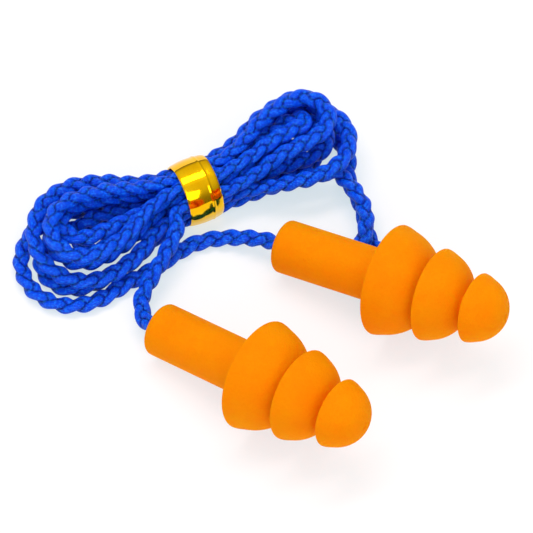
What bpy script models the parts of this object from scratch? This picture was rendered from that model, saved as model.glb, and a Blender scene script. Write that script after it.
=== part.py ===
# Corded triple-flange ear plugs: two soft moulded plugs on one braided cord,
# the spare cord folded into a hank and held at its waist by a wired foil tie.
# Lengths below are millimetres. The model is built in metres, +Z up, standing on z = 0.

import math

import bmesh
import bpy
import numpy as np
from mathutils import Matrix, Vector

MM = 0.001

# Plug: a turned moulding, sizes along its axis from the cord end to the tip
PLUG_LENGTH = 28.0
STEM_DIAMETER = 6.0
STEM_FILLET = 0.4
RIM_TO_TIP = (14.6, 8.9, 3.8)
RIM_PLACES = tuple(PLUG_LENGTH - back for back in RIM_TO_TIP)
RIM_DIAMETERS = (12.5, 10.4, 7.8)
DOME_HEIGHTS = (5.8, 4.4, RIM_TO_TIP[2])
SKIRT_WALLS = (0.95, 0.85, 0.80)
SKIRT_DEPTHS = (3.0, 2.2, 1.2)
CORE_DIAMETERS = (STEM_DIAMETER, 4.4, 3.6)
RIM_ROUND = 0.25
PLUG_SIDES = 28

# Where each plug lies: middle of its cord mouth, and the way it points across the table
LEFT_MOUTH_XY = (-18.27, 2.22)
RIGHT_MOUTH_XY = (-4.70, 12.73)
LEFT_HEADING = -35.2
RIGHT_HEADING = -28.2

# Cord, and how it is held in the stem
CORD_DIAMETER = 1.55
CORD_FLOOR_GAP = 0.03
BORE_CLEARANCE = 0.40
BORE_DEPTH = 8.0
GLUE_CLEARANCE = 0.08
GLUE_RECESS = 0.6
CORD_END_LENGTH = 7.2
END_GAP = 0.35

# Hank: loops side by side and in four layers, pressed thinner under the tie
LOOP_GAP = 0.47
WAIST_PRESS = 0.72
WAIST_GAP = 0.48
WAIST_HALF_LENGTH = 3.2
FLARE_LENGTH = 9.6
HANK_MIDDLE_XY = (-14.47, 19.95)
HANK_HEADING = 25.0
POINTS_PER_TURN = 6
POINTS_PER_RUN = 3

# Tie: a foil ribbon with a wire in a groove on its inner face
TIE_WIDTH = 4.0
TIE_THICKNESS = 0.45
TIE_CLEARANCE = 0.25
TIE_FLOOR_GAP = 0.05
TIE_SEAM = 0.5
WIRE_DIAMETER = 0.26
WIRE_CLEARANCE = 0.06
WIRE_PLACE = 0.85

# Values that follow from the sizes above
STEM_R = STEM_DIAMETER / 2
CORD_R = CORD_DIAMETER / 2
BORE_R = CORD_R + BORE_CLEARANCE
TILT = math.atan2(RIM_DIAMETERS[0] / 2 - STEM_R, RIM_PLACES[0])
MOUTH_Z = STEM_R * math.cos(TILT)
CORD_Z = CORD_R + CORD_FLOOR_GAP
LOOP_STEP = CORD_DIAMETER + LOOP_GAP
WAIST_STEP = CORD_DIAMETER * WAIST_PRESS + WAIST_GAP
TIE_OFFSET = CORD_R * WAIST_PRESS + TIE_CLEARANCE
WAIST_Z = TIE_OFFSET + TIE_THICKNESS + TIE_FLOOR_GAP

# Free route of the right-hand cord between its plug and the hank, lying on the table
RIGHT_FREE_ROUTE = [
    (-8.0, 14.2, 2.0), (-10.3, 14.7, 1.3), (-12.8, 14.7, CORD_Z), (-15.1, 13.9, CORD_Z),
    (-17.0, 12.6, CORD_Z), (-18.7, 11.2, CORD_Z), (-20.1, 10.2, CORD_Z), (-21.7, 9.3, CORD_Z),
]
# The loop that has slipped out of the hank's right end: out, round behind the plug, and back on top
BIGHT_ROUTE = [
    (-2.8, 31.3, CORD_Z), (-0.15, 29.85, CORD_Z), (2.6, 25.2, CORD_Z), (2.4, 23.5, CORD_Z),
    (2.9, 21.7, CORD_Z), (3.7, 19.9, CORD_Z), (4.25, 18.2, CORD_Z), (4.5, 16.4, CORD_Z),
    (4.9, 14.7, CORD_Z), (5.8, 13.4, CORD_Z), (7.2, 12.7, CORD_Z), (8.2, 11.5, CORD_Z),
    (7.8, 9.9, CORD_Z), (6.0, 9.1, CORD_Z), (4.1, 9.8, 0.95), (3.3, 11.7, 1.7),
    (4.15, 13.9, 2.65), (4.5, 15.8, 2.85), (4.2, 17.9, 2.85), (3.3, 19.8, 2.85),
    (2.3, 21.2, 2.79), (0.9, 22.2, 2.77),
]
# Free route of the left-hand cord from the tie down to its plug, over the right-hand cord
LEFT_FREE_ROUTE = [
    (-16.5, 14.0, 4.3), (-17.4, 12.0, 3.6), (-18.6, 9.8, 3.0), (-19.7, 7.9, 2.5),
    (-20.3, 6.3, 2.2), (-20.2, 4.7, 2.25),
]

# Waist places of the far and near strands, loop by loop: (column, row), column 0 outside
FAR_PLACES = [(0, 0), (1, 0), (1, 1), (0, 1), (0, 2), (1, 2), (1, 3)]
NEAR_PLACES = [(0, 0), (1, 0), (1, 1), (0, 1), (1, 2), (1, 3), (0, 2)]
# Ends of the loops: reach from the waist, middle, half widths going in and out, layers in and out
OUTER_LEFT_TURN = (21.4, -1.5, 5.75, 5.8, 0, 0)
OUTER_RIGHT_TURN = (17.4, 1.4, 4.9, 4.9, 0, 1)
LEFT_TURNS = [
    (19.2, -1.5, 3.6, 3.65, 0, 0), (14.2, 0.1, 1.5, 1.3, 0, 1), (17.3, 0.1, 3.7, 3.5, 1, 1),
    (19.3, -0.4, 5.6, 5.6, 1, 2), (15.7, 0.8, 2.4, 1.95, 2, 2), (17.6, -1.05, 3.6, 3.55, 2.7, 3),
]
RIGHT_TURNS = [
    (15.2, 1.2, 2.6, 2.6, 0, 0), (16.3, 0.9, 1.95, 2.4, 1, 1), (18.8, 0.6, 4.6, 5.8, 0.95, 2.05),
    (16.7, 1.4, 3.6, 1.65, 2.14, 2), (14.1, 1.6, 1.1, 1.1, 2, 3), (16.6, 1.15, 2.75, 2.75, 3.05, 3.05),
]


def ease(t):
    t = min(1.0, max(0.0, t))
    return t * t * (3.0 - 2.0 * t)


def material(name, colour, roughness, metallic=0.0):
    made = bpy.data.materials.new(name)
    made.use_nodes = True
    shader = made.node_tree.nodes["Principled BSDF"]
    shader.inputs["Base Color"].default_value = (*colour, 1.0)
    shader.inputs["Roughness"].default_value = roughness
    shader.inputs["Metallic"].default_value = metallic
    made.diffuse_color = (*colour, 1.0)
    return made


def finish_mesh(name, bm, look, parent=None, matrix=None):
    bmesh.ops.recalc_face_normals(bm, faces=bm.faces)
    mesh = bpy.data.meshes.new(name)
    bm.to_mesh(mesh)
    bm.free()
    mesh.shade_smooth()
    mesh.set_sharp_from_angle(angle=math.radians(40))
    mesh.materials.append(look)
    made = bpy.data.objects.new(name, mesh)
    bpy.context.scene.collection.objects.link(made)
    if parent is not None:
        made.parent = parent
    if matrix is not None:
        made.matrix_local = matrix
    return made


def pivot(name, matrix):
    made = bpy.data.objects.new(name, None)
    made.empty_display_size = 5 * MM
    made.matrix_world = matrix
    bpy.context.scene.collection.objects.link(made)
    return made


# A profile of (radius, height) points turned about its own Z axis
def turned(name, profile, sides, look, parent, closed=False):
    bm = bmesh.new()
    verts = [bm.verts.new((r * MM, 0.0, z * MM)) for r, z in profile]
    pairs = list(zip(verts[:-1], verts[1:]))
    if closed:
        pairs.append((verts[-1], verts[0]))
    edges = [bm.edges.new(pair) for pair in pairs]
    bmesh.ops.spin(
        bm, geom=verts + edges, cent=(0, 0, 0), axis=(0, 0, 1),
        angle=2 * math.pi, steps=sides, use_merge=True,
    )
    bmesh.ops.remove_doubles(bm, verts=bm.verts, dist=1e-7)
    return finish_mesh(name, bm, look, parent)


# Half section of a plug, from the bottom of its bore round the outside to its tip
def plug_profile():
    points = [(0.0, BORE_DEPTH), (BORE_R, BORE_DEPTH), (BORE_R, 0.0)]
    for k in range(4):
        turn = math.pi / 2 * k / 3
        points.append((
            STEM_R - STEM_FILLET + STEM_FILLET * math.sin(turn),
            STEM_FILLET - STEM_FILLET * math.cos(turn),
        ))
    for k in range(3):
        rim = RIM_PLACES[k]
        radius = RIM_DIAMETERS[k] / 2
        height = DOME_HEIGHTS[k]
        inner_r = radius - SKIRT_WALLS[k]
        inner_h = height - SKIRT_WALLS[k]
        core = CORE_DIAMETERS[k] / 2
        depth = SKIRT_DEPTHS[k]
        # the core runs up into the hollow behind the skirt, and the hollow comes back to the rim
        points.append((core, rim + depth))
        for step in range(3, -1, -1):
            s = depth * step / 3
            points.append((inner_r * math.sqrt(1 - (s / inner_h) ** 2), rim + max(s, RIM_ROUND * 0.6)))
        points.append((radius - SKIRT_WALLS[k] * 0.5, rim))
        points.append((radius - RIM_ROUND * 0.4, rim + RIM_ROUND * 0.3))
        # the dome runs forward to the next core, or to the tip
        last = math.pi / 2
        if k < 2:
            last = math.acos(CORE_DIAMETERS[k + 1] / 2 / radius)
        first = math.asin(RIM_ROUND / height)
        for step in range(9):
            angle = first + (last - first) * step / 8
            points.append((max(0.0, radius * math.cos(angle)), rim + height * math.sin(angle)))
    points[-1] = (0.0, PLUG_LENGTH)
    return points


# Frame of a plug: origin in the middle of its cord mouth, +Z along it to the tip
def plug_frame(mouth_xy, heading):
    turn = math.radians(heading)
    along = Vector((math.cos(turn) * math.cos(TILT), math.sin(turn) * math.cos(TILT), math.sin(TILT)))
    side = Vector((-math.sin(turn), math.cos(turn), 0.0))
    top = along.cross(side)
    frame = Matrix((side, top, along)).transposed().to_4x4()
    frame.translation = Vector((mouth_xy[0], mouth_xy[1], MOUTH_Z)) * MM
    return frame


# A place in the hank, from its middle along, across and up, as a place on the table
def hank_place(along, across, up):
    turn = math.radians(HANK_HEADING)
    return (
        HANK_MIDDLE_XY[0] + along * math.cos(turn) - across * math.sin(turn),
        HANK_MIDDLE_XY[1] + along * math.sin(turn) + across * math.cos(turn),
        up,
    )


# Across and up of one strand where the tie holds it
def waist_place(side, place):
    return side * WAIST_STEP * (1.5 - place[0]), WAIST_Z + place[1] * WAIST_STEP


# One end of a loop: out from the waist, round a half turn and back to the waist
def loop_end(way, turn, start, stop):
    reach, middle, half_in, half_out, layer_in, layer_out = turn
    side_in = 1.0 if start[0] > 0 else -1.0
    across_in = middle + side_in * half_in
    across_out = middle - side_in * half_out
    up_in = CORD_Z + layer_in * LOOP_STEP
    up_out = CORD_Z + layer_out * LOOP_STEP
    forward = (half_in + half_out) / 2
    bend = reach - forward
    points = []
    for k in range(POINTS_PER_RUN):
        t = k / POINTS_PER_RUN
        s = ease(t)
        points.append((
            way * (WAIST_HALF_LENGTH + FLARE_LENGTH * t),
            start[0] + (across_in - start[0]) * s,
            start[1] + (up_in - start[1]) * s,
        ))
    centre = (across_in + across_out) / 2
    half = (across_in - across_out) / 2
    for k in range(POINTS_PER_TURN):
        t = k / (POINTS_PER_TURN - 1)
        angle = math.pi * t
        points.append((
            way * (bend + forward * math.sin(angle)),
            centre + half * math.cos(angle),
            up_in + (up_out - up_in) * ease(t),
        ))
    for k in range(POINTS_PER_RUN - 1, -1, -1):
        t = k / POINTS_PER_RUN
        s = ease(t)
        points.append((
            way * (WAIST_HALF_LENGTH + FLARE_LENGTH * t),
            stop[0] + (across_out - stop[0]) * s,
            stop[1] + (up_out - stop[1]) * s,
        ))
    return points


def far(k):
    return waist_place(1.0, FAR_PLACES[k])


def near(k):
    return waist_place(-1.0, NEAR_PLACES[k])


def on_table(points):
    return [hank_place(*point) for point in points]


# A smooth curve through route points, read at even steps
def smooth_route(points, spacing):
    p = np.array(points, float)
    p = np.vstack([2 * p[0] - p[1], p, 2 * p[-1] - p[-2]])
    fine = []
    for p0, p1, p2, p3 in zip(p[:-3], p[1:-2], p[2:-1], p[3:]):
        t1 = math.sqrt(np.linalg.norm(p1 - p0))
        t2 = t1 + math.sqrt(np.linalg.norm(p2 - p1))
        t3 = t2 + math.sqrt(np.linalg.norm(p3 - p2))
        for t in np.linspace(t1, t2, 12, endpoint=False):
            a = p0 + (p1 - p0) * t / t1
            b = p1 + (p2 - p1) * (t - t1) / (t2 - t1)
            c = p2 + (p3 - p2) * (t - t2) / (t3 - t2)
            ab = a + (b - a) * t / t2
            bc = b + (c - b) * (t - t1) / (t3 - t1)
            fine.append(ab + (bc - ab) * (t - t1) / (t2 - t1))
    fine.append(p[-2])
    fine = np.array(fine)
    run = np.concatenate([[0.0], np.cumsum(np.linalg.norm(np.diff(fine, axis=0), axis=1))])
    count = max(2, int(round(run[-1] / spacing)) + 1)
    even = np.linspace(0.0, run[-1], count)
    return [tuple(np.interp(s, run, fine[:, k]) for k in range(3)) for s in even]


def press_at(point):
    turn = math.radians(HANK_HEADING)
    x = point[0] - HANK_MIDDLE_XY[0]
    y = point[1] - HANK_MIDDLE_XY[1]
    along = abs(x * math.cos(turn) + y * math.sin(turn))
    across = abs(y * math.cos(turn) - x * math.sin(turn))
    if across > 5.0:
        return 1.0
    return WAIST_PRESS + (1.0 - WAIST_PRESS) * ease((along - WAIST_HALF_LENGTH) / FLARE_LENGTH)


def tube(name, points, look, sides_step):
    curve = bpy.data.curves.new(name, "CURVE")
    curve.dimensions = "3D"
    curve.fill_mode = "FULL"
    curve.bevel_depth = CORD_R * MM
    curve.bevel_resolution = sides_step
    curve.use_fill_caps = True
    spline = curve.splines.new("POLY")
    spline.points.add(len(points) - 1)
    for at, point in zip(spline.points, points):
        at.co = (point[0] * MM, point[1] * MM, point[2] * MM, 1.0)
        at.radius = press_at(point)
    spline.use_smooth = True
    curve.materials.append(look)
    made = bpy.data.objects.new(name, curve)
    bpy.context.scene.collection.objects.link(made)
    return made


def stepped(start, towards, distance):
    a = np.array(start, float)
    b = np.array(towards, float)
    return tuple(a + (b - a) / np.linalg.norm(b - a) * distance)


# Outline of the tie: straight between the outer strands, round over each of them
def tie_outline():
    out = 1.5 * WAIST_STEP
    mid = 0.5 * WAIST_STEP
    low = WAIST_Z
    corners = [
        (-out, low), (-out, low + 2 * WAIST_STEP), (-mid, low + 3 * WAIST_STEP),
        (mid, low + 3 * WAIST_STEP), (out, low + 2 * WAIST_STEP), (out, low),
    ]
    rows = [(mid, low, 0.0, -1.0)]
    for k, corner in enumerate(corners):
        before = corners[k - 1]
        after = corners[(k + 1) % len(corners)]
        first = math.atan2(corner[0] - before[0], -(corner[1] - before[1]))
        last = math.atan2(after[0] - corner[0], -(after[1] - corner[1]))
        # outward normals, turning clockwise as seen from the right-hand end
        while last > first:
            last -= 2 * math.pi
        steps = 5
        for j in range(steps):
            angle = first + (last - first) * j / (steps - 1)
            rows.append((corner[0], corner[1], math.cos(angle), math.sin(angle)))
    rows.append((mid + TIE_SEAM, low, 0.0, -1.0))
    return rows


# A flat cross-section of (along, outward) points swept round the tie's outline
def swept(name, section, look, parent):
    bm = bmesh.new()
    rings = []
    for across, up, normal_across, normal_up in tie_outline():
        rings.append([
            bm.verts.new((
                along * MM,
                (across + normal_across * (TIE_OFFSET + outward)) * MM,
                (up + normal_up * (TIE_OFFSET + outward)) * MM,
            ))
            for along, outward in section
        ])
    size = len(section)
    for one, two in zip(rings[:-1], rings[1:]):
        for k in range(size):
            bm.faces.new((one[k], one[(k + 1) % size], two[(k + 1) % size], two[k]))
    bm.faces.new(rings[0])
    bm.faces.new(rings[-1])
    return finish_mesh(name, bm, look, parent)


for old in list(bpy.data.objects):
    bpy.data.objects.remove(old, do_unlink=True)

orange = material("plug_silicone", (0.98, 0.24, 0.006), 0.62)
blue = material("cord_polyester", (0.006, 0.045, 0.55), 0.42)
blue_end = material("cord_end_polyester", (0.005, 0.035, 0.42), 0.55)
clear_glue = material("cured_glue", (0.85, 0.80, 0.68), 0.30)
gold = material("gold_foil", (0.95, 0.62, 0.06), 0.12, 1.0)
steel = material("tie_wire_steel", (0.55, 0.56, 0.58), 0.35, 1.0)

# Plugs, each with the glued end of the cord inside its stem
mouths = {}
for side, mouth_xy, heading in (
    ("left", LEFT_MOUTH_XY, LEFT_HEADING),
    ("right", RIGHT_MOUTH_XY, RIGHT_HEADING),
):
    frame = plug_frame(mouth_xy, heading)
    hinge = pivot(side + "_swing", frame)
    mouths[side] = (np.array(frame.translation) / MM, np.array(frame.col[2][:3]))
    turned(side + "_plug", plug_profile(), PLUG_SIDES, orange, hinge)
    turned(side + "_cord_end", [
        (0.0, CORD_END_LENGTH), (CORD_R, CORD_END_LENGTH), (CORD_R, 0.05), (0.0, 0.05),
    ], PLUG_SIDES, blue_end, hinge)
    turned(side + "_glue", [
        (BORE_R - GLUE_CLEARANCE, CORD_END_LENGTH), (BORE_R - GLUE_CLEARANCE, GLUE_RECESS),
        (CORD_R + GLUE_CLEARANCE, GLUE_RECESS), (CORD_R + GLUE_CLEARANCE, CORD_END_LENGTH),
    ], PLUG_SIDES, clear_glue, hinge, closed=True)

# Right-hand cord: from its plug, round the outside of the hank and through the slipped loop
mouth, along = mouths["right"]
right_start = tuple(mouth - along * END_GAP)
right_straight = tuple(mouth - along * (END_GAP + CORD_DIAMETER))
outer_left = on_table(loop_end(-1.0, OUTER_LEFT_TURN, (-1.5 * WAIST_STEP, WAIST_Z), far(0)))
outer_right = on_table(loop_end(1.0, OUTER_RIGHT_TURN, far(0), near(0)))
right_route = [right_start, right_straight] + RIGHT_FREE_ROUTE + outer_left[3:]
right_route += [hank_place(0.0, *far(0))] + outer_right[:4] + BIGHT_ROUTE + outer_right[-3:-1]
right_points = smooth_route(right_route, 2.0 * CORD_DIAMETER)
tube("right_lead", right_points, blue, 2)

# Hank: one unbroken tube of loops between the two leads
hank_points = [stepped(outer_right[-2], outer_right[-1], END_GAP), outer_right[-1]]
for k in range(6):
    hank_points += on_table(loop_end(-1.0, LEFT_TURNS[k], near(k), far(k + 1)))
    hank_points += on_table(loop_end(1.0, RIGHT_TURNS[k], far(k + 1), near(k + 1)))
last_across, last_up = near(6)
hank_points.append(hank_place(-TIE_WIDTH / 2, last_across, last_up))
tube("cord_hank", hank_points, blue, 1)

# Left-hand cord: out from under the tie and down to its plug
mouth, along = mouths["left"]
left_route = [
    hank_place(-TIE_WIDTH / 2 - END_GAP, last_across, last_up),
    hank_place(-TIE_WIDTH / 2 - END_GAP - CORD_DIAMETER * 0.7, last_across - 0.1, last_up),
]
left_route += LEFT_FREE_ROUTE
left_route += [tuple(mouth - along * (END_GAP + CORD_DIAMETER)), tuple(mouth - along * END_GAP)]
left_points = smooth_route(left_route, 2.0 * CORD_DIAMETER)
tube("left_lead", left_points, blue, 2)

# Tie: the ribbon and the wire in its groove, free to slide a little along the waist
turn = math.radians(HANK_HEADING)
tie_frame = Matrix.Rotation(turn, 4, "Z")
tie_frame.translation = Vector((HANK_MIDDLE_XY[0], HANK_MIDDLE_XY[1], 0.0)) * MM
tie_pivot = pivot("tie_slide", tie_frame)
half = TIE_WIDTH / 2
groove = WIRE_DIAMETER / 2 + WIRE_CLEARANCE
swept("tie_ribbon", [
    (-half, 0.0), (WIRE_PLACE - groove, 0.0), (WIRE_PLACE - groove, 2 * groove),
    (WIRE_PLACE + groove, 2 * groove), (WIRE_PLACE + groove, 0.0), (half, 0.0),
    (half, TIE_THICKNESS), (-half, TIE_THICKNESS),
], gold, tie_pivot)
swept("tie_wire", [
    (
        WIRE_PLACE + WIRE_DIAMETER / 2 * math.cos(math.pi * k / 4),
        groove + WIRE_DIAMETER / 2 * math.sin(math.pi * k / 4),
    )
    for k in range(8)
], steel, tie_pivot)


# Least gap of the cord to itself, measured on points along the whole route
def dense(points):
    p = np.array(points, float)
    run = np.concatenate([[0.0], np.cumsum(np.linalg.norm(np.diff(p, axis=0), axis=1))])
    places = np.linspace(0.0, run[-1], int(run[-1] / 0.35))
    return run[-1], np.stack([np.interp(places, run, p[:, k]) for k in range(3)], 1)


whole = [dense(points) for points in (right_points, hank_points, left_points)]
path = np.vstack([points for _, points in whole])
width = np.array([CORD_DIAMETER * press_at(point) for point in path])
apart = np.linalg.norm(path[:, None] - path[None], axis=2) - (width[:, None] + width[None]) / 2
order = np.arange(len(path))
apart[np.abs(order[:, None] - order[None]) < 14] = 99.0
worst = np.unravel_index(apart.argmin(), apart.shape)
first, last = len(whole[0][1]), len(whole[0][1]) + len(whole[1][1])
print("hank least gap to itself %.2f mm" % apart[first:last, first:last].min())
print("cord least gap to itself %.2f mm" % apart.min(), "at", path[worst[0]].round(1), path[worst[1]].round(1))
print("cord lengths", [round(float(length), 1) for length, _ in whole], "mm")
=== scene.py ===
# %% [markdown]
# # Corded ear plugs with a tied cord
# Two soft moulded plugs sit on one braided cord, and the spare cord is folded
# into a hank that a strip of gold foil holds at its waist. The imported model is
# loaded first, because every piece below goes where that model says.

# %% Load the imported model
import math

import bmesh
import bpy
import numpy as np
from mathutils import Matrix, Vector


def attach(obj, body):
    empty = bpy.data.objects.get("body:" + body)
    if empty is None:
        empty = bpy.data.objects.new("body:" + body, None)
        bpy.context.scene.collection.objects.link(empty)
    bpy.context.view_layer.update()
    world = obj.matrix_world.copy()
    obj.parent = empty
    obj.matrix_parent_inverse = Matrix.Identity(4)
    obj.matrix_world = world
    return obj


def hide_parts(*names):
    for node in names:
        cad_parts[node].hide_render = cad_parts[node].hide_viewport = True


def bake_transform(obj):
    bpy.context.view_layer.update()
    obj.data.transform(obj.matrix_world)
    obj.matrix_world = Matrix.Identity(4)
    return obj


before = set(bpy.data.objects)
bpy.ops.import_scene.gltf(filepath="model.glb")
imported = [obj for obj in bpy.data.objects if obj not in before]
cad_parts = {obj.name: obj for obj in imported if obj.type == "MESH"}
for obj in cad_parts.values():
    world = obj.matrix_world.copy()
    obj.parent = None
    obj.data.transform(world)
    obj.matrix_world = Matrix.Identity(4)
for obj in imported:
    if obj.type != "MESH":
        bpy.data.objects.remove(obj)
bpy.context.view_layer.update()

MM = 0.001

# %% [markdown]
# ## Camera
# The picture looks down steeply on small things, so it was taken from some way
# off. A camera could be placed by eye, but here its distance, its rise and its
# lens come from how round the flange rims look and how long the plugs are. One
# value says how many picture points a millimetre takes, and the lens follows.

# %% Camera
PICTURE_SIDE = 533
POINTS_PER_MM = 9.01
CAMERA_DISTANCE = 554.0
CAMERA_RISE = math.radians(59.93)
LOOK_AT = Vector((-6.566, 11.746, 0.0))
SENSOR_WIDTH = 36.0

lens = bpy.data.cameras.new("table_camera")
lens.sensor_fit = "HORIZONTAL"
lens.sensor_width = SENSOR_WIDTH
lens.lens = POINTS_PER_MM * CAMERA_DISTANCE * SENSOR_WIDTH / PICTURE_SIDE
camera = bpy.data.objects.new("table_camera", lens)
back = Vector((0.0, -math.cos(CAMERA_RISE), math.sin(CAMERA_RISE)))
camera.location = (LOOK_AT + back * CAMERA_DISTANCE) * MM
camera.rotation_euler = (math.pi / 2 - CAMERA_RISE, 0.0, 0.0)
bpy.context.scene.collection.objects.link(camera)
bpy.context.scene.camera = camera
print("lens %.0f mm" % lens.lens)

# %% [markdown]
# ## Where the plugs lie
# Each plug rests on the end of its stem and on the rim of its widest flange, so
# its tip is raised a little. That tilt follows from the two radii and the place
# of the rim. The cord needs the two mouths before anything else is made.

# %% Plug sizes and frames
PLUG_LENGTH = 28.0
STEM_R = 3.0
RIM_PLACES = (13.4, 19.1, 24.2)
RIM_RADII = (6.25, 5.2, 3.9)
TILT = math.atan2(RIM_RADII[0] - STEM_R, RIM_PLACES[0])
MOUTH_Z = STEM_R * math.cos(TILT)
PLUGS = {"left": ((-18.27, 2.22), -35.2), "right": ((-4.70, 12.73), -28.2)}


def plug_frame(side):
    (x, y), heading = PLUGS[side]
    turn = math.radians(heading)
    flat = math.cos(TILT)
    along = Vector((math.cos(turn) * flat, math.sin(turn) * flat, math.sin(TILT)))
    across = Vector((-math.sin(turn), math.cos(turn), 0.0))
    made = Matrix((across, along.cross(across), along)).transposed().to_4x4()
    made.translation = Vector((x, y, MOUTH_Z))
    return made


mouths = {}
for side in PLUGS:
    place = plug_frame(side)
    mouths[side] = (np.array(place.translation), np.array(place.col[2][:3]))
print("tip raised %.1f degrees" % math.degrees(TILT))

# %% [markdown]
# ## The cord's route
# The cord is one length of about 0.6 m. It leaves the right plug, goes round
# the outside of the hank, makes one slipped loop, winds six more times through
# the hank and comes out under the tie to the left plug. A simulation could drop
# a cord on the table, but a hank is folded on purpose, so its turns are laid
# out here by their reach, middle, half widths and layers.

# %% Sizes of the hank
CORD_R = 0.775
CORD_Z = 0.86
LOOP_STEP = 1.96
WAIST_STEP = 1.50
WAIST_Z = 1.22
WAIST_HALF = 3.2
FLARE = 9.6
HANK_MIDDLE = (-14.47, 19.95)
HANK_TURN = math.radians(25.0)
TIE_WIDTH = 4.0
END_GAP = 0.35
TURN_POINTS = 6
RUN_POINTS = 3

RIGHT_FREE_ROUTE = [
    (-8.0, 14.2, 2.0), (-10.3, 14.7, 1.3), (-12.8, 14.7, CORD_Z), (-15.1, 13.9, CORD_Z),
    (-17.0, 12.6, CORD_Z), (-18.7, 11.2, CORD_Z), (-20.1, 10.2, CORD_Z), (-21.7, 9.3, CORD_Z),
]
SLIPPED_LOOP = [
    (-2.8, 31.3, CORD_Z), (-0.15, 29.85, CORD_Z), (2.6, 25.2, CORD_Z), (2.4, 23.5, CORD_Z),
    (2.9, 21.7, CORD_Z), (3.7, 19.9, CORD_Z), (4.25, 18.2, CORD_Z), (4.5, 16.4, CORD_Z),
    (4.9, 14.7, CORD_Z), (5.8, 13.4, CORD_Z), (7.2, 12.7, CORD_Z), (8.2, 11.5, CORD_Z),
    (7.8, 9.9, CORD_Z), (6.0, 9.1, CORD_Z), (4.1, 9.8, 0.95), (3.3, 11.7, 1.7),
    (4.15, 13.9, 2.65), (4.5, 15.8, 2.85), (4.2, 17.9, 2.85), (3.3, 19.8, 2.85),
    (2.3, 21.2, 2.79), (0.9, 22.2, 2.77),
]
LEFT_FREE_ROUTE = [
    (-16.5, 14.0, 4.3), (-17.4, 12.0, 3.6), (-18.6, 9.8, 3.0), (-19.7, 7.9, 2.5),
    (-20.3, 6.3, 2.2), (-20.2, 4.7, 2.25),
]
FAR_PLACES = [(0, 0), (1, 0), (1, 1), (0, 1), (0, 2), (1, 2), (1, 3)]
NEAR_PLACES = [(0, 0), (1, 0), (1, 1), (0, 1), (1, 2), (1, 3), (0, 2)]
OUTER_LEFT = (21.4, -1.5, 5.75, 5.8, 0, 0)
OUTER_RIGHT = (17.4, 1.4, 4.9, 4.9, 0, 1)
LEFT_TURNS = [
    (19.2, -1.5, 3.6, 3.65, 0, 0), (14.2, 0.1, 1.5, 1.3, 0, 1), (17.3, 0.1, 3.7, 3.5, 1, 1),
    (19.3, -0.4, 5.6, 5.6, 1, 2), (15.7, 0.8, 2.4, 1.95, 2, 2), (17.6, -1.05, 3.6, 3.55, 2.7, 3),
]
RIGHT_TURNS = [
    (15.2, 1.2, 2.6, 2.6, 0, 0), (16.3, 0.9, 1.95, 2.4, 1, 1), (18.4, 0.6, 4.6, 5.8, 0.95, 2.05),
    (16.7, 1.4, 3.6, 1.65, 2.14, 2), (14.1, 1.6, 1.1, 1.1, 2, 3), (16.6, 1.15, 2.75, 2.75, 3.05, 3.05),
]
print("turns in the hank", len(LEFT_TURNS))


# %% Helpers that lay one turn of the hank
def ease(t):
    t = min(1.0, max(0.0, t))
    return t * t * (3.0 - 2.0 * t)


def hank_place(along, across, up):
    c, s = math.cos(HANK_TURN), math.sin(HANK_TURN)
    x = HANK_MIDDLE[0] + along * c - across * s
    return x, HANK_MIDDLE[1] + along * s + across * c, up


def waist_place(side, place):
    return side * WAIST_STEP * (1.5 - place[0]), WAIST_Z + place[1] * WAIST_STEP


def far(k):
    return waist_place(1.0, FAR_PLACES[k])


def near(k):
    return waist_place(-1.0, NEAR_PLACES[k])


def flare_run(way, held, across, up):
    points = []
    for k in range(RUN_POINTS):
        t = k / RUN_POINTS
        s = ease(t)
        points.append(hank_place(
            way * (WAIST_HALF + FLARE * t),
            held[0] + (across - held[0]) * s,
            held[1] + (up - held[1]) * s,
        ))
    return points


def loop_end(way, turn, start, stop):
    reach, middle, half_in, half_out, layer_in, layer_out = turn
    side = 1.0 if start[0] > 0 else -1.0
    across_in = middle + side * half_in
    across_out = middle - side * half_out
    up_in = CORD_Z + layer_in * LOOP_STEP
    up_out = CORD_Z + layer_out * LOOP_STEP
    forward = (half_in + half_out) / 2
    points = flare_run(way, start, across_in, up_in)
    for t in np.linspace(0.0, 1.0, TURN_POINTS):
        points.append(hank_place(
            way * (reach - forward + forward * math.sin(math.pi * t)),
            (across_in + across_out + (across_in - across_out) * math.cos(math.pi * t)) / 2,
            up_in + (up_out - up_in) * ease(t),
        ))
    return points + flare_run(way, stop, across_out, up_out)[::-1]


top_layer = max(turn[5] for turn in LEFT_TURNS)
print("layers stand %.1f mm high" % (CORD_Z + top_layer * LOOP_STEP + CORD_R))

# %% [markdown]
# ## One smooth line through the route
# The route's points are joined by a centripetal Catmull-Rom curve, which passes
# through every point and makes no loops of its own where points lie close
# together. It is then read at even steps, so that the braid has an even pitch.

# %% Join the route
RING_STEP = 0.17
INTO_STEM = 1.2
LEAD_DRIFT = 0.1
CURVE_STEPS = 24


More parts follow.
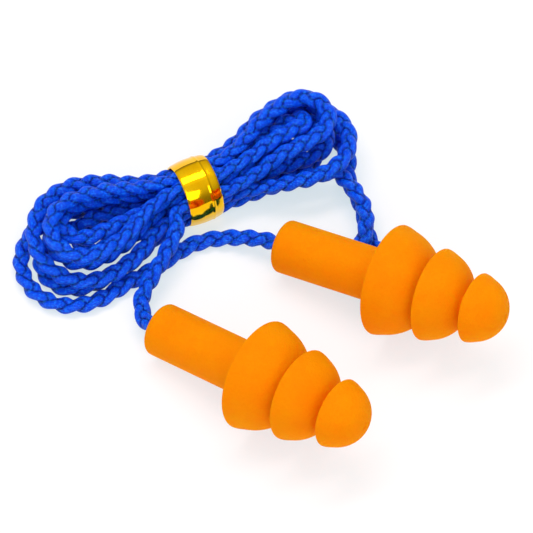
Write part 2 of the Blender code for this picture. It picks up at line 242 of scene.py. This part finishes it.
def smooth_route(points, spacing):
    p = np.array(points, float)
    p = np.vstack([2 * p[0] - p[1], p, 2 * p[-1] - p[-2]])
    fine = []
    for p0, p1, p2, p3 in zip(p[:-3], p[1:-2], p[2:-1], p[3:]):
        t1 = math.sqrt(np.linalg.norm(p1 - p0))
        t2 = t1 + math.sqrt(np.linalg.norm(p2 - p1))
        t3 = t2 + math.sqrt(np.linalg.norm(p3 - p2))
        for t in np.linspace(t1, t2, CURVE_STEPS, endpoint=False):
            a = p0 + (p1 - p0) * t / t1
            b = p1 + (p2 - p1) * (t - t1) / (t2 - t1)
            c = p2 + (p3 - p2) * (t - t2) / (t3 - t2)
            ab = a + (b - a) * t / t2
            bc = b + (c - b) * (t - t1) / (t3 - t1)
            fine.append(ab + (bc - ab) * (t - t1) / (t2 - t1))
    fine = np.array(fine + [p[-2]])
    run = np.concatenate([[0.0], np.cumsum(np.linalg.norm(np.diff(fine, axis=0), axis=1))])
    even = np.linspace(0.0, run[-1], int(round(run[-1] / spacing)) + 1)
    return np.stack([np.interp(even, run, fine[:, k]) for k in range(3)], 1)


def stem_line(side, distances):
    mouth, along = mouths[side]
    return [tuple(mouth + along * d) for d in distances]


outer_left = loop_end(-1.0, OUTER_LEFT, near(0), far(0))
outer_right = loop_end(1.0, OUTER_RIGHT, far(0), near(0))
route = stem_line("right", (INTO_STEM, -END_GAP, -END_GAP - 2 * CORD_R))
route += RIGHT_FREE_ROUTE + outer_left[RUN_POINTS:] + [hank_place(0.0, *far(0))]
route += outer_right[:RUN_POINTS + 1] + SLIPPED_LOOP + outer_right[-RUN_POINTS:]
for k in range(len(LEFT_TURNS)):
    route += loop_end(-1.0, LEFT_TURNS[k], near(k), far(k + 1))
    route += loop_end(1.0, RIGHT_TURNS[k], far(k + 1), near(k + 1))
held_across, held_up = near(len(LEFT_TURNS))
route.append(hank_place(-TIE_WIDTH / 2, held_across, held_up))
route.append(hank_place(-TIE_WIDTH / 2 - 4 * END_GAP, held_across - LEAD_DRIFT, held_up))
route += LEFT_FREE_ROUTE + stem_line("left", (-END_GAP - 2 * CORD_R, -END_GAP, INTO_STEM))
cord_line = smooth_route(route, RING_STEP)
print("whole cord %.0f mm in %d rings" % (len(cord_line) * RING_STEP, len(cord_line)))

# %% [markdown]
# ## The braid
# The cord is a plait of three soft yarns. Each yarn comes up in the middle, goes
# out over the edge, dives and comes back underneath, so slanting leaf-shaped
# lumps lie in two rows like a chevron. Three tubes could be woven, but soft yarns
# press into each other and tubes cut through. Here one tube takes the height of
# whichever yarn is outermost, and the place across that yarn is kept for the
# finish, with the depth of the crease beside it.

# %% Height of the yarns
YARNS = 3
PLAIT_LENGTH = 6.3
YARN_R = 0.53
YARN_SWING = 0.43
YARN_RISE = 0.27
YARN_TWIST = 0.35
YARN_SHIFT = 9.0
CORE_R = 0.1
CREASE_WIDTH = 0.34
LOOK_R = YARN_SWING + YARN_R


def braid_surface(around, run):
    first, second = np.full_like(run, CORE_R), np.full_like(run, CORE_R)
    across, along = np.zeros_like(run), np.zeros_like(run)
    for k in range(YARNS):
        phase = 2 * np.pi * (run / PLAIT_LENGTH + k / YARNS)
        x, y = YARN_SWING * np.sin(phase), YARN_RISE * np.sin(2 * phase)
        towards = np.cos(around) * x + np.sin(around) * y
        inside = YARN_R ** 2 - x ** 2 - y ** 2 + towards ** 2
        reach = np.where(inside > 0, towards + np.sqrt(np.maximum(inside, 0.0)), 0.0)
        own = np.arctan2(reach * np.sin(around) - y, reach * np.cos(around) - x)
        top = reach > first
        second = np.where(top, first, np.maximum(second, reach))
        first = np.where(top, reach, first)
        across = np.where(top, own + YARN_TWIST * run, across)
        along = np.where(top, run + YARN_SHIFT * k, along)
    # crease depth between the outermost yarn and the next, which the finish uses to paint shade in the
    # creases and light on the tops
    crease = np.clip((first - second) / CREASE_WIDTH, 0.0, 1.0)
    return first, np.stack([across, along, crease], -1)


print("%d yarns, %.2f mm across the lumps" % (YARNS, 2 * LOOK_R))

# %% [markdown]
# ## A tube from a grid
# A flat grid has the faces that a tube needs: its columns go round the cord and
# its rows go along it. Each point is moved to its place beside the route, and
# the first and last columns then fall together and are merged. The rings keep
# the same side up, with a slow twist to and fro as a cord has when it is folded.

# %% Frames and pressing along the cord
WAIST_PRESS = 0.82
PRESSED_HALF = 3.2
PRESSED_EASE = 1.8
CORD_SIDES = 32
TWIST = 0.25
TWIST_RUN = 7.0

ahead = np.gradient(cord_line, axis=0)
ahead /= np.linalg.norm(ahead, axis=1)[:, None]
beside = np.cross(ahead, (0.0, 0.0, 1.0))
beside /= np.linalg.norm(beside, axis=1)[:, None]
above = np.cross(beside, ahead)


def press_at(point):
    x, y = point[0] - HANK_MIDDLE[0], point[1] - HANK_MIDDLE[1]
    c, s = math.cos(HANK_TURN), math.sin(HANK_TURN)
    along, across = abs(x * c + y * s), abs(y * c - x * s)
    free = max(ease((along - WAIST_HALF) / FLARE), ease((across - PRESSED_HALF) / PRESSED_EASE))
    return WAIST_PRESS + (1.0 - WAIST_PRESS) * free


pressed = np.array([press_at(point) for point in cord_line])
print("thinnest under the tie %.2f mm" % (2 * LOOK_R * pressed.min()))


# %% Make an object of a finished mesh
def finish_piece(name, bm, sharp=None):
    bmesh.ops.recalc_face_normals(bm, faces=bm.faces)
    mesh = bpy.data.meshes.new(name)
    bm.to_mesh(mesh)
    bm.free()
    mesh.shade_smooth()
    if sharp is not None:
        mesh.set_sharp_from_angle(angle=math.radians(sharp))
    made = bpy.data.objects.new(name, mesh)
    bpy.context.scene.collection.objects.link(made)
    print(name, len(mesh.polygons), "faces")
    return made


# %% Make a braided length between two rings
def braided_length(name, first, last):
    rows = last - first
    around, run = np.meshgrid(
        2 * np.pi * (np.arange(CORD_SIDES + 1) % CORD_SIDES) / CORD_SIDES,
        np.arange(first, last + 1) * RING_STEP,
    )
    height, yarn = braid_surface(around, run)
    r = (height * pressed[first:last + 1, None])[..., None]
    facing = around + TWIST * np.sin(run / TWIST_RUN)
    place = cord_line[first:last + 1, None] + r * (
        np.cos(facing)[..., None] * beside[first:last + 1, None]
        + np.sin(facing)[..., None] * above[first:last + 1, None]
    )
    bm = bmesh.new()
    keep = bm.verts.layers.float_vector.new("yarn")
    bmesh.ops.create_grid(bm, x_segments=CORD_SIDES, y_segments=rows, size=1.0)
    for vert in bm.verts:
        column = round((vert.co.x + 1) / 2 * CORD_SIDES)
        row = round((vert.co.y + 1) / 2 * rows)
        vert.co = place[row, column] * MM
        vert[keep] = yarn[row, column]
    bmesh.ops.remove_doubles(bm, verts=bm.verts, dist=1e-6)
    ends = [edge for edge in bm.edges if edge.is_boundary]
    bmesh.ops.holes_fill(bm, edges=ends, sides=CORD_SIDES)
    return finish_piece(name, bm)


print("%d faces round the cord" % CORD_SIDES)

# %% [markdown]
# ## Three lengths of one cord
# The cord is split where nobody sees it. The splits fall inside the hank, at its
# left end and beside the tie, and the lumps run on across them.

# %% Split the cord
RIGHT_SPLIT = 42.0
split_one = int(RIGHT_SPLIT / RING_STEP)
tie_entry = np.linalg.norm(cord_line - np.array(outer_right[-2]), axis=1)
split_two = int(tie_entry.argmin())
last_ring = len(cord_line) - 1
right_lead = braided_length("cord_right_end", 0, split_one)
outer_loop = braided_length("cord_outer_loop", split_one, split_two)
hank = braided_length("cord_folded_hank", split_two, last_ring)


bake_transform(right_lead)
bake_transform(hank)
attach(right_lead, "cord")
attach(outer_loop, "cord")
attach(hank, "cord")
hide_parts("right_lead")
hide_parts("cord_hank", "left_lead")

# %% [markdown]
# ## Finishes are built from nodes
# A helper makes an empty finish and returns its nodes, so that each finish below
# only says what is special about it. Values that are the same all over a
# surface are set straight on the shader's sockets.


# %% A helper for finishes
class Finish:
    def __init__(self, name, roughness, metallic=0.0):
        self.material = bpy.data.materials.new(name)
        self.material.use_nodes = True
        self.tree = self.material.node_tree
        self.shader = self.tree.nodes["Principled BSDF"]
        self.set("Roughness", roughness)
        self.set("Metallic", metallic)

    def set(self, socket, value):
        self.shader.inputs[socket].default_value = value

    def node(self, kind, values=(), **settings):
        made = self.tree.nodes.new("ShaderNode" + kind)
        for key, value in settings.items():
            setattr(made, key, value)
        for key, value in dict(values).items():
            made.inputs[key].default_value = value
        return made

    def link(self, output, target):
        self.tree.links.new(output, target)

    def ramp(self, value, stops):
        made = self.node("ValToRGB")
        bands = made.color_ramp.elements
        while len(bands) < len(stops):
            bands.new(0.5)
        for band, (at, colour) in zip(bands, stops):
            band.position = at
            band.color = (*colour, 1.0)
        self.link(value, made.inputs["Fac"])
        return made.outputs["Color"]

    def bump(self, height, distance, strength, below=None):
        made = self.node("Bump", {"Distance": distance, "Strength": strength})
        self.link(height, made.inputs["Height"])
        if below is not None:
            self.link(below, made.inputs["Normal"])
        self.link(made.outputs["Normal"], self.shader.inputs["Normal"])
        return made.outputs["Normal"]

    def noise(self, vector, scale, detail=3.0, roughness=0.5):
        made = self.node("TexNoise", {"Scale": scale, "Detail": detail, "Roughness": roughness})
        self.link(vector, made.inputs["Vector"])
        return made.outputs["Fac"]

    def place(self):
        return self.node("TexCoord").outputs["Object"]

    def put_on(self, piece):
        piece.data.materials.clear()
        piece.data.materials.append(self.material)


print("finish helper ready")

# %% [markdown]
# ## Blue polyester yarn
# Each yarn is a bundle of bright, nearly parallel filaments. Their lines run
# along the yarn, so they are drawn across the place that the braid kept. The
# creases between the yarns are painted darker as shade and the tops painted
# lighter as light falling on them, from the crease depth that the braid kept.
# Small bright specks are added on top as painted glints.

# %% Cord finish
yarn_blue = Finish("blue_polyester_yarn", 0.34)
yarn_blue.set("Specular IOR Level", 0.14)
kept = yarn_blue.node("Attribute", attribute_name="yarn")
parts = yarn_blue.node("SeparateXYZ")
yarn_blue.link(kept.outputs["Vector"], parts.inputs["Vector"])
filaments = yarn_blue.node(
    "TexWave", {"Scale": 0.9, "Distortion": 2.5, "Detail": 2.0, "Detail Scale": 2.0},
    wave_type="BANDS", bands_direction="X", wave_profile="SIN",
)
yarn_blue.link(kept.outputs["Vector"], filaments.inputs["Vector"])
specks = yarn_blue.noise(yarn_blue.place(), 3600.0, 3.0, 0.65)
# painted shade and light: near black in the creases between yarns, bright blue on the yarn tops
painted_crease_shade_and_top_light = yarn_blue.ramp(parts.outputs["Z"], [
    (0.02, (0.0, 0.002, 0.05)), (0.26, (0.0, 0.024, 0.50)), (0.90, (0.0, 0.080, 1.0)),
])
# painted highlights: bright blue glints at random specks
painted_glints = yarn_blue.ramp(specks, [(0.46, (0.0, 0.0, 0.0)), (0.68, (0.010, 0.16, 0.28))])
# the painted glints are added onto the painted crease shade and top light
lit = yarn_blue.node("Mix", {"Factor": 1.0}, data_type="RGBA", blend_type="ADD")
yarn_blue.link(painted_crease_shade_and_top_light, lit.inputs["A"])
yarn_blue.link(painted_glints, lit.inputs["B"])
threads = yarn_blue.node("Mix", {"Factor": 0.26}, data_type="RGBA", blend_type="MULTIPLY")
yarn_blue.link(lit.outputs["Result"], threads.inputs["A"])
yarn_blue.link(filaments.outputs["Color"], threads.inputs["B"])
yarn_blue.link(threads.outputs["Result"], yarn_blue.shader.inputs["Base Color"])
fibre_bump = yarn_blue.bump(filaments.outputs["Fac"], 0.00007, 0.7)
yarn_blue.bump(specks, 0.00004, 0.4, below=fibre_bump)
cord_lengths = (right_lead, outer_loop, hank)
for piece in cord_lengths:
    yarn_blue.put_on(piece)
print("blue on", len(cord_lengths), "lengths")

# %% [markdown]
# ## The plugs
# A flanged plug is moulded round an axis, so half of its section turned round
# that axis makes all of it: the hole for the cord, the stem, and three flanges
# that are hollow behind like mushroom caps. The rims are rounded lips and the
# roots have small fillets, as soft mouldings do. A small sunk mark stays on the
# tip, where the material went into the mould.

# %% Half section of a plug
BORE_DEPTH = 8.0
BORE_R = 1.0
STEM_FILLET = 0.45
DOME_HEIGHTS = (5.8, 4.4, PLUG_LENGTH - RIM_PLACES[2])
SKIRT_WALLS = (0.95, 0.85, 0.80)
SKIRT_DEPTHS = (3.0, 2.2, 1.2)
CORE_RADII = (STEM_R, 2.2, 1.8)
LIP_R = 0.10
FLARE_OUT = 0.16
FLARE_RUN = 1.3
LIP_STEPS = 5
DOME_STEPS = 22
GATE_R = 0.42
GATE_DEPTH = 0.10
ROOT_FILLET = 0.3
MOUTH_FILLET = 0.25
MOUTH_SAG = 0.07


def arc(centre, radius, first, last, steps):
    return [
        (centre[0] + radius * math.cos(math.radians(a)), centre[1] + radius * math.sin(math.radians(a)))
        for a in np.linspace(first, last, steps)
    ]


def flange_section(k):
    rim, radius, height = RIM_PLACES[k], RIM_RADII[k], DOME_HEIGHTS[k]
    wall, depth, core = SKIRT_WALLS[k], SKIRT_DEPTHS[k], CORE_RADII[k]
    inner_r, inner_h = radius - wall, height - wall
    root = inner_r * math.sqrt(1 - (depth / inner_h) ** 2)
    fillet = min(ROOT_FILLET, (root - core) / 2.5)
    points = arc((core + fillet, rim + depth - fillet), fillet, 180, 90, 4)
    points += arc((root - fillet, rim + depth - fillet), fillet, 90, 20, 4)
    for s in np.linspace(depth - 2.2 * fillet, LIP_R, 5):
        points.append((inner_r * math.sqrt(1 - (s / inner_h) ** 2), rim + s))
    points += arc((inner_r + LIP_R, rim + LIP_R), LIP_R, 190, 270, LIP_STEPS)
    points += arc((radius - LIP_R, rim + LIP_R), LIP_R, 270, 350, LIP_STEPS)
    inmost = (*CORE_RADII, GATE_R)[k + 1]
    last = math.acos(inmost / (radius - FLARE_OUT))
    first = math.asin(LIP_R / height)
    for angle in np.linspace(first, last, DOME_STEPS):
        rise = height * math.sin(angle)
        flared = FLARE_OUT * (1.0 - ease(rise / FLARE_RUN))
        points.append(((radius - FLARE_OUT) * math.cos(angle) + flared, rim + rise))
    return points


def plug_section():
    points = [(0.0, BORE_DEPTH), (BORE_R, BORE_DEPTH), (BORE_R, MOUTH_FILLET)]
    points += [(BORE_R + MOUTH_SAG, MOUTH_SAG), (BORE_R + MOUTH_FILLET, 0.0)]
    points += arc((STEM_R - STEM_FILLET, STEM_FILLET), STEM_FILLET, -90, 0, 7)
    for k in range(len(RIM_PLACES)):
        points += flange_section(k)
    tip = points[-1][1]
    points += [(GATE_R * 0.86, tip - GATE_DEPTH * 0.8), (GATE_R * 0.5, tip - GATE_DEPTH)]
    return points + [(0.0, tip - GATE_DEPTH * 0.8)]


print("points in the half section", len(plug_section()))

# %% Turn the plugs
PLUG_STEPS = 96


def turned_plug(name, side):
    bm = bmesh.new()
    verts = [bm.verts.new((r, 0.0, z)) for r, z in plug_section()]
    edges = [bm.edges.new(pair) for pair in zip(verts[:-1], verts[1:])]
    bmesh.ops.spin(
        bm, geom=verts + edges, cent=(0, 0, 0), axis=(0, 0, 1),
        angle=2 * math.pi, steps=PLUG_STEPS, use_merge=True,
    )
    bmesh.ops.remove_doubles(bm, verts=bm.verts, dist=1e-5)
    bmesh.ops.transform(bm, matrix=Matrix.Scale(MM, 4) @ plug_frame(side), verts=bm.verts)
    return finish_piece(name, bm, sharp=50)


plugs = {}
for side in PLUGS:
    plug = turned_plug("ear_plug_" + side, side)
    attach(plug, side + "_plug")
    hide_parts(side + "_plug")
    plugs[side] = plug

# %% [markdown]
# ## Orange silicone
# Soft silicone has no sharp gloss. Its skin copies a finely blasted mould, so
# it shows a fine grain and a broad, dull shine, and some light goes in and comes
# out again nearby, redder than it went in. A fine noise makes the grain, a
# coarser one lets the colour drift a little.

# %% Plug finish
soft_orange = Finish("orange_silicone", 0.66)
soft_orange.set("Subsurface Weight", 0.6)
soft_orange.set("Subsurface Radius", (1.0, 0.22, 0.03))
soft_orange.set("Subsurface Scale", 0.0015)
soft_orange.set("Specular IOR Level", 0.03)
where = soft_orange.place()
drift = soft_orange.noise(where, 260.0, 2.0)
orange_colour = soft_orange.ramp(drift, [
    (0.30, (1.0, 0.262, 0.0003)), (0.70, (1.0, 0.295, 0.0005)),
])
grain = soft_orange.noise(where, 3600.0, 3.0, 0.6)
pits = soft_orange.ramp(grain, [(0.36, (0.985, 0.945, 0.94)), (0.56, (1.0, 1.0, 1.0))])
skin = soft_orange.node("Mix", {"Factor": 1.0}, data_type="RGBA", blend_type="MULTIPLY")
soft_orange.link(orange_colour, skin.inputs["A"])
soft_orange.link(pits, skin.inputs["B"])
soft_orange.link(skin.outputs["Result"], soft_orange.shader.inputs["Base Color"])
soft_orange.bump(grain, 0.00012, 0.8)
for plug in plugs.values():
    soft_orange.put_on(plug)
print("orange on", len(plugs), "plugs")

# %% [markdown]
# ## The foil tie
# The tie is a strip of gold foil film with a wire inside it, bent once round the
# waist of the hank. Seen from its end it is a rounded outline that bulges between
# the outer strands and keeps clear of each of them. The strip again starts as a
# grid: its rows follow the outline and its columns cross the strip, and a small
# ridge stands where the wire lies inside.

# %% Outline of the tie
OUTER_PLACES = [(0, 0), (0, 2), (1, 3)]
TIE_OFFSET = 0.76
TIE_THICKNESS = 0.36
TIE_BULGE = 0.13
FILM = 0.14
WIRE_PLACE = 0.85
TIE_SEAM = 0.5
CORNER_STEPS = 9
BULGE_STEPS = 12
SMOOTHINGS = 110
TIE_STEP = 0.12
LEAST_REACH = 1.10


def bulged(start, corner, after, angle):
    span = math.dist(corner, after)
    made = []
    for t in np.linspace(0.0, 1.0, BULGE_STEPS)[1:-1]:
        rise = TIE_BULGE * span * 4 * t * (1 - t)
        made.append((
            start[0] + (after[0] - corner[0]) * t + rise * math.cos(angle),
            start[1] + (after[1] - corner[1]) * t + rise * math.sin(angle),
        ))
    return made


def tie_outline():
    corners = [waist_place(-1.0, place) for place in OUTER_PLACES]
    corners += [waist_place(1.0, place) for place in OUTER_PLACES[::-1]]
    offset = TIE_OFFSET + TIE_THICKNESS
    seam, low = WAIST_STEP / 2, WAIST_Z - offset
    points = [(seam, low)]
    for k, corner in enumerate(corners):
        before, after = corners[k - 1], corners[(k + 1) % len(corners)]
        first = math.atan2(corner[0] - before[0], before[1] - corner[1])
        last = math.atan2(after[0] - corner[0], corner[1] - after[1])
        while last > first:
            last -= 2 * math.pi
        for angle in np.linspace(first, last, CORNER_STEPS):
            points.append((
                corner[0] + offset * math.cos(angle),
                corner[1] + offset * math.sin(angle),
            ))
        if k < len(corners) - 1:
            points += bulged(points[-1], corner, after, last)
    points.append((seam + TIE_SEAM, low))
    p = np.array(points)
    run = np.concatenate([[0.0], np.cumsum(np.linalg.norm(np.diff(p, axis=0), axis=1))])
    even = np.linspace(0.0, run[-1], int(run[-1] / TIE_STEP))
    p = np.stack([np.interp(even, run, p[:, k]) for k in range(2)], 1)
    for _ in range(SMOOTHINGS):
        p[1:-1] = p[1:-1] / 2 + (p[:-2] + p[2:]) / 4
        for strand in corners:
            away = p - strand
            reach = np.linalg.norm(away, axis=1)[:, None]
            p = np.where(reach < LEAST_REACH, strand + away / reach * LEAST_REACH, p)
    return p


outline = tie_outline()
print("tie is %.1f mm long round the waist" % (len(outline) * TIE_STEP))

# %% Bend the strip round the outline
TIE_COLUMNS = 40
RIDGE = 0.07
RIDGE_WIDTH = 0.11
EDGE_ROLL = 0.05
EDGE_START, EDGE_RUN = 1.7, 0.3
RIPPLE = 0.006
RIPPLE_ROW, RIPPLE_SLANT = 0.16, 1.3
CROWN = 0.22


def strip_lift(u, row):
    ridge = RIDGE * math.exp(-((u - WIRE_PLACE) / RIDGE_WIDTH) ** 2)
    edge = EDGE_ROLL * max(0.0, (abs(u) - EDGE_START) / EDGE_RUN) ** 2
    ripple = RIPPLE * math.sin(row * RIPPLE_ROW + RIPPLE_SLANT * u)
    return ridge - edge + ripple - RIDGE - CROWN * (2 * u / TIE_WIDTH) ** 2


out_normal = np.gradient(outline, axis=0)
out_normal = np.stack([-out_normal[:, 1], out_normal[:, 0]], 1)
out_normal /= np.linalg.norm(out_normal, axis=1)[:, None]
middle = np.array([0.0, WAIST_Z + 1.5 * WAIST_STEP])
if ((outline - middle) * out_normal).sum() < 0:
    out_normal = -out_normal

bm = bmesh.new()
tie_rows = len(outline) - 1
bmesh.ops.create_grid(bm, x_segments=TIE_COLUMNS, y_segments=tie_rows, size=1.0)
for vert in bm.verts:
    u = vert.co.x * TIE_WIDTH / 2
    row = round((vert.co.y + 1) / 2 * tie_rows)
    across, up = outline[row] + out_normal[row] * strip_lift(u, row)
    vert.co = Vector(hank_place(u, across, up)) * MM
bmesh.ops.recalc_face_normals(bm, faces=bm.faces)
inside = Vector(hank_place(0.0, *middle)) * MM
face = next(iter(bm.faces))
if (face.calc_center_median() - inside).dot(face.normal) < 0:
    bmesh.ops.reverse_faces(bm, faces=bm.faces)
bmesh.ops.solidify(bm, geom=bm.faces, thickness=FILM * MM)
tie = finish_piece("foil_tie", bm, sharp=60)
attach(tie, "tie")
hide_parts("tie_ribbon")

# %% Lay the wire inside the ridge
WIRE_R = 0.05
WIRE_SIDES = 10
ridge_lift = np.array([strip_lift(WIRE_PLACE, row) for row in range(len(outline))])
wire_line = outline + out_normal * (ridge_lift - FILM / 2)[:, None]
bm = bmesh.new()
bmesh.ops.create_grid(bm, x_segments=WIRE_SIDES, y_segments=tie_rows, size=1.0)
for vert in bm.verts:
    angle = 2 * math.pi * (round((vert.co.x + 1) / 2 * WIRE_SIDES) % WIRE_SIDES) / WIRE_SIDES
    row = round((vert.co.y + 1) / 2 * tie_rows)
    across, up = wire_line[row] + out_normal[row] * WIRE_R * math.sin(angle)
    vert.co = Vector(hank_place(WIRE_PLACE + WIRE_R * math.cos(angle), across, up)) * MM
bmesh.ops.remove_doubles(bm, verts=bm.verts, dist=1e-7)
ends = [edge for edge in bm.edges if edge.is_boundary]
bmesh.ops.holes_fill(bm, edges=ends, sides=WIRE_SIDES)
wire = finish_piece("tie_core_wire", bm)
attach(wire, "tie")
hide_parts("tie_wire")

# %% [markdown]
# ## Gold foil
# The film is metallised and lacquered yellow, so it mirrors what is round it in
# gold. Handling leaves it slightly rippled and finely scuffed, so the bump has a
# slow part and a fine part, and the roughness drifts with the scuffs.

# %% Tie finish
foil = Finish("gold_foil_film", 0.16, 1.0)
where = foil.place()
scuffs = foil.noise(where, 900.0, 4.0, 0.6)
foil_colour = foil.ramp(scuffs, [(0.35, (0.97, 0.51, 0.002)), (0.75, (1.0, 0.59, 0.005))])
foil.link(foil_colour, foil.shader.inputs["Base Color"])
shine = foil.node("MapRange", {"From Min": 0.3, "From Max": 0.8, "To Min": 0.07, "To Max": 0.16})
foil.link(scuffs, shine.inputs["Value"])
foil.link(shine.outputs["Result"], foil.shader.inputs["Roughness"])
slow = foil.noise(where, 420.0, 1.0)
waves = foil.bump(slow, 0.00012, 0.12)
foil.bump(scuffs, 0.00002, 0.15, below=waves)
foil.put_on(tie)
print("foil on", tie.name)

# %% [markdown]
# ## What is inside
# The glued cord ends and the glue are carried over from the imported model. They
# show only in the mouths of the stems, and the wire shows only at the tie's two
# ends, but they get finishes of their own: darker yarn, pale set glue with an
# uneven skin, and drawn steel.

# %% Finishes for the carried-over pieces
end_blue = Finish("glued_yarn_end", 0.5)
where = end_blue.place()
end_blue.link(end_blue.ramp(end_blue.noise(where, 2500.0), [
    (0.3, (0.001, 0.008, 0.14)), (0.7, (0.004, 0.03, 0.38)),
]), end_blue.shader.inputs["Base Color"])
end_blue.bump(end_blue.noise(where, 5000.0), 0.00005, 0.5)

set_glue = Finish("set_glue", 0.25)
where = set_glue.place()
set_glue.link(set_glue.ramp(set_glue.noise(where, 1500.0), [
    (0.3, (0.70, 0.62, 0.45)), (0.7, (0.86, 0.80, 0.66)),
]), set_glue.shader.inputs["Base Color"])
set_glue.bump(set_glue.noise(where, 2600.0), 0.0001, 0.4)

drawn_steel = Finish("drawn_steel_wire", 0.32, 1.0)
where = drawn_steel.place()
drawn_steel.link(drawn_steel.ramp(drawn_steel.noise(where, 3000.0), [
    (0.3, (0.42, 0.43, 0.45)), (0.7, (0.62, 0.63, 0.65)),
]), drawn_steel.shader.inputs["Base Color"])
drawn_steel.bump(drawn_steel.noise(where, 6000.0), 0.00003, 0.3)

CARRIED = {
    "left_cord_end": end_blue, "right_cord_end": end_blue,
    "left_glue": set_glue, "right_glue": set_glue,
}
drawn_steel.put_on(wire)
for name, finish in CARRIED.items():
    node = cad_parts[name]
    for at in node.material_slots:
        at.material = finish.material
print("carried over", sorted(CARRIED))

# %% [markdown]
# ## Table and light
# The things lie on a white sheet under one wide soft lamp, high and a little
# behind them, with a weak one in front and light from all round. So the shadows
# are soft, and they fall towards the viewer. The sheet is white to the camera
# because of a colour and a faint glow of its own, and the lamps stay at a level
# at which a colour shows as it was written.

# %% Floor
FLOOR_HALF = 0.6
BOUNCE_WHITE = (1.0, 0.97, 0.95, 1.0)
SEEN_WHITE = (0.46, 0.35, 0.33, 1.0)
SEEN_GLOW = (0.55, 0.66, 0.68, 1.0)
bm = bmesh.new()
bmesh.ops.create_grid(bm, x_segments=1, y_segments=1, size=FLOOR_HALF)
floor = finish_piece("white_sheet", bm)
sheet = Finish("white_sheet", 0.9)
sheet.set("Specular IOR Level", 0.0)
ray = sheet.node("LightPath")
paper = sheet.node("Mix", {"A": BOUNCE_WHITE, "B": SEEN_WHITE}, data_type="RGBA")
looked_at = sheet.node("Math", operation="ADD", use_clamp=True)
sheet.link(ray.outputs["Is Camera Ray"], looked_at.inputs[0])
sheet.link(ray.outputs["Is Glossy Ray"], looked_at.inputs[1])
sheet.link(looked_at.outputs[0], paper.inputs["Factor"])
sheet.link(paper.outputs["Result"], sheet.shader.inputs["Base Color"])
sheet.set("Emission Color", SEEN_GLOW)
sheet.link(looked_at.outputs[0], sheet.shader.inputs["Emission Strength"])
sheet.put_on(floor)

# %% Lamps
LAMP_PLACE = Vector((-0.08, 0.20, 0.66))
LAMP_WIDE, LAMP_DEEP = 0.60, 0.16
LAMP_WATTS = 1.9
FRONT_PLACE = Vector((0.05, -0.45, 0.30))
FRONT_WIDE, FRONT_DEEP = 0.40, 0.25
FRONT_WATTS = 0.66


def soft_lamp(name, place, wide, deep, watts):
    data = bpy.data.lights.new(name, "AREA")
    data.shape = "RECTANGLE"
    data.size, data.size_y = wide, deep
    data.energy = watts
    lamp = bpy.data.objects.new(name, data)
    lamp.location = place
    lamp.rotation_euler = (LOOK_AT * MM - place).to_track_quat("-Z", "Y").to_euler()
    bpy.context.scene.collection.objects.link(lamp)
    print(name, "%.2f W" % watts)


soft_lamp("high_lamp", LAMP_PLACE, LAMP_WIDE, LAMP_DEEP, LAMP_WATTS)
soft_lamp("front_lamp", FRONT_PLACE, FRONT_WIDE, FRONT_DEEP, FRONT_WATTS)

# %% World
ROOM_BANDS = [(0.03, 0.16), (0.75, 0.92), (0.22, 0.30)]

world = bpy.data.worlds.new("white_room")
world.use_nodes = True
bpy.context.scene.world = world
tree = world.node_tree
room = tree.nodes["Background"]
heading = tree.nodes.new("ShaderNodeTexCoord")
rise = tree.nodes.new("ShaderNodeSeparateXYZ")
tree.links.new(heading.outputs["Generated"], rise.inputs["Vector"])
walls = tree.nodes.new("ShaderNodeValToRGB")
bands = walls.color_ramp.elements
for band, (at, level) in zip([bands[0], bands[1], bands.new(0.22)], ROOM_BANDS):
    band.position = at
    band.color = (level, level, level, 1.0)
tree.links.new(rise.outputs["Z"], walls.inputs["Fac"])
ray = tree.nodes.new("ShaderNodeLightPath")
seen = tree.nodes.new("ShaderNodeMix")
seen.data_type = "RGBA"
seen.inputs["B"].default_value = (1.0, 1.0, 1.0, 1.0)
tree.links.new(ray.outputs["Is Camera Ray"], seen.inputs["Factor"])
tree.links.new(walls.outputs["Color"], seen.inputs["A"])
tree.links.new(seen.outputs["Result"], room.inputs["Color"])
room.inputs["Strength"].default_value = 1.0
bpy.context.scene.view_settings.view_transform = "Standard"
print("white room lit")
